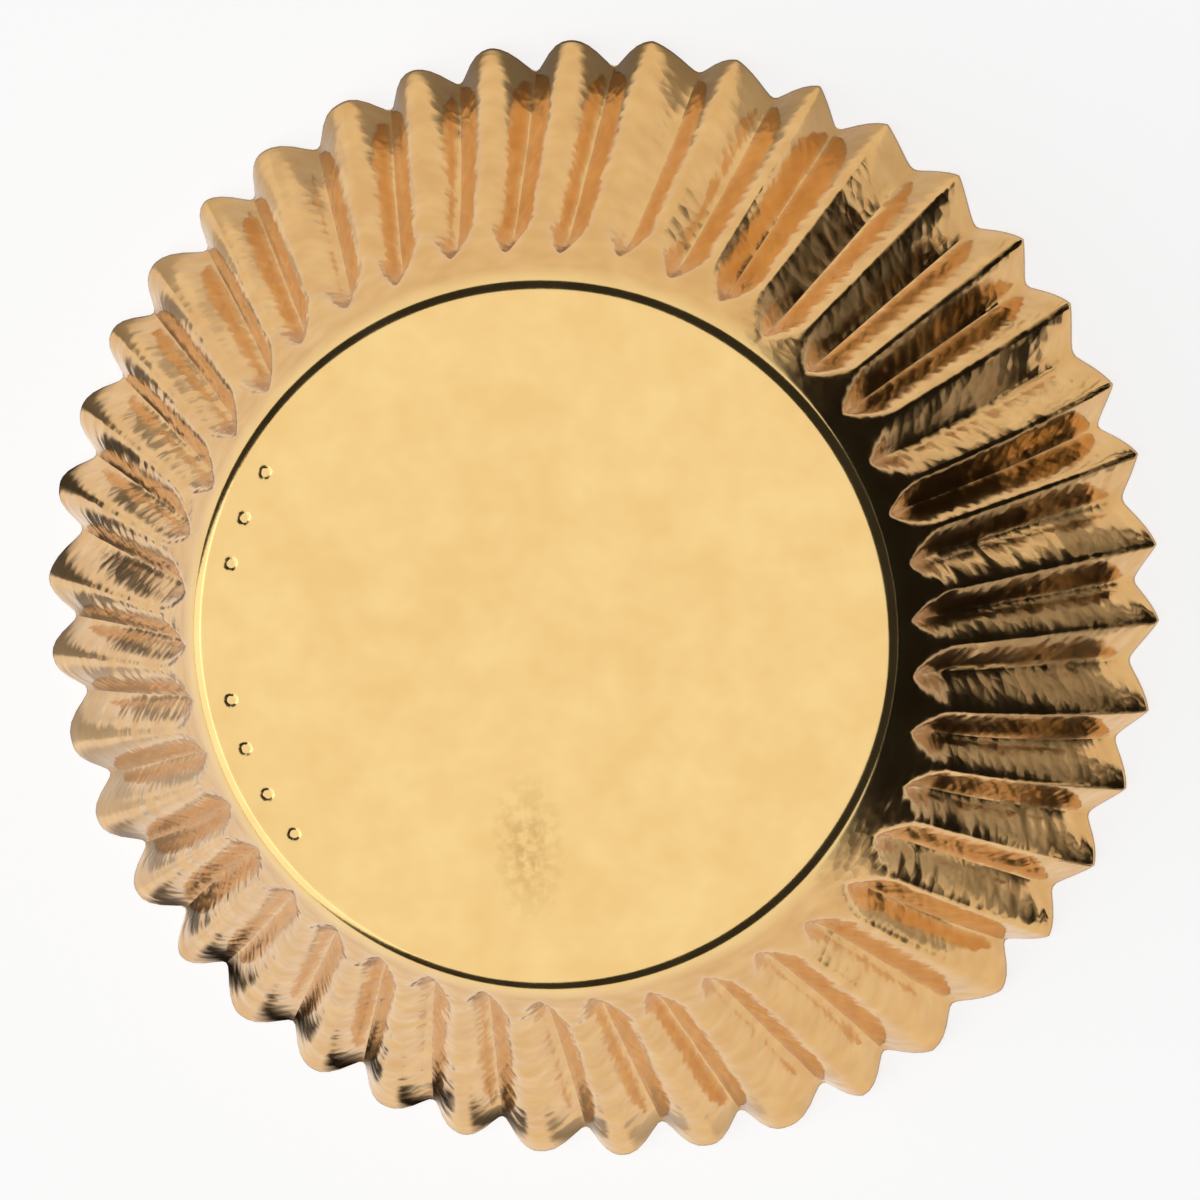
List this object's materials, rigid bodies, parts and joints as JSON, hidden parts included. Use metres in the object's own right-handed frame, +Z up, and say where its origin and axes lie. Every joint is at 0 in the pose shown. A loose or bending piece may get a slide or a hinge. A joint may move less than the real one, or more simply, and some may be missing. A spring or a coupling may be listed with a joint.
{
  "type": "cupcake liner",
  "caption": "Round fluted baking cup pressed from one disc of gold foil and paper, lying upside down with its flat base on top.",
  "frame": {"origin": "centre of the liner, at the level of its lowest rim edge", "axes": "+Z up along the liner's axis, from the open rim to the flat base; a groove lies on +X"},
  "size_m": [0.0818, 0.082, 0.0291],
  "materials": {
    "gold_foil": "gold-lacquered foil, crinkled, half gloss"
  },
  "bodies": {
    "root": {"foil_liner": "gold_foil"}
  },
  "joints": []
}
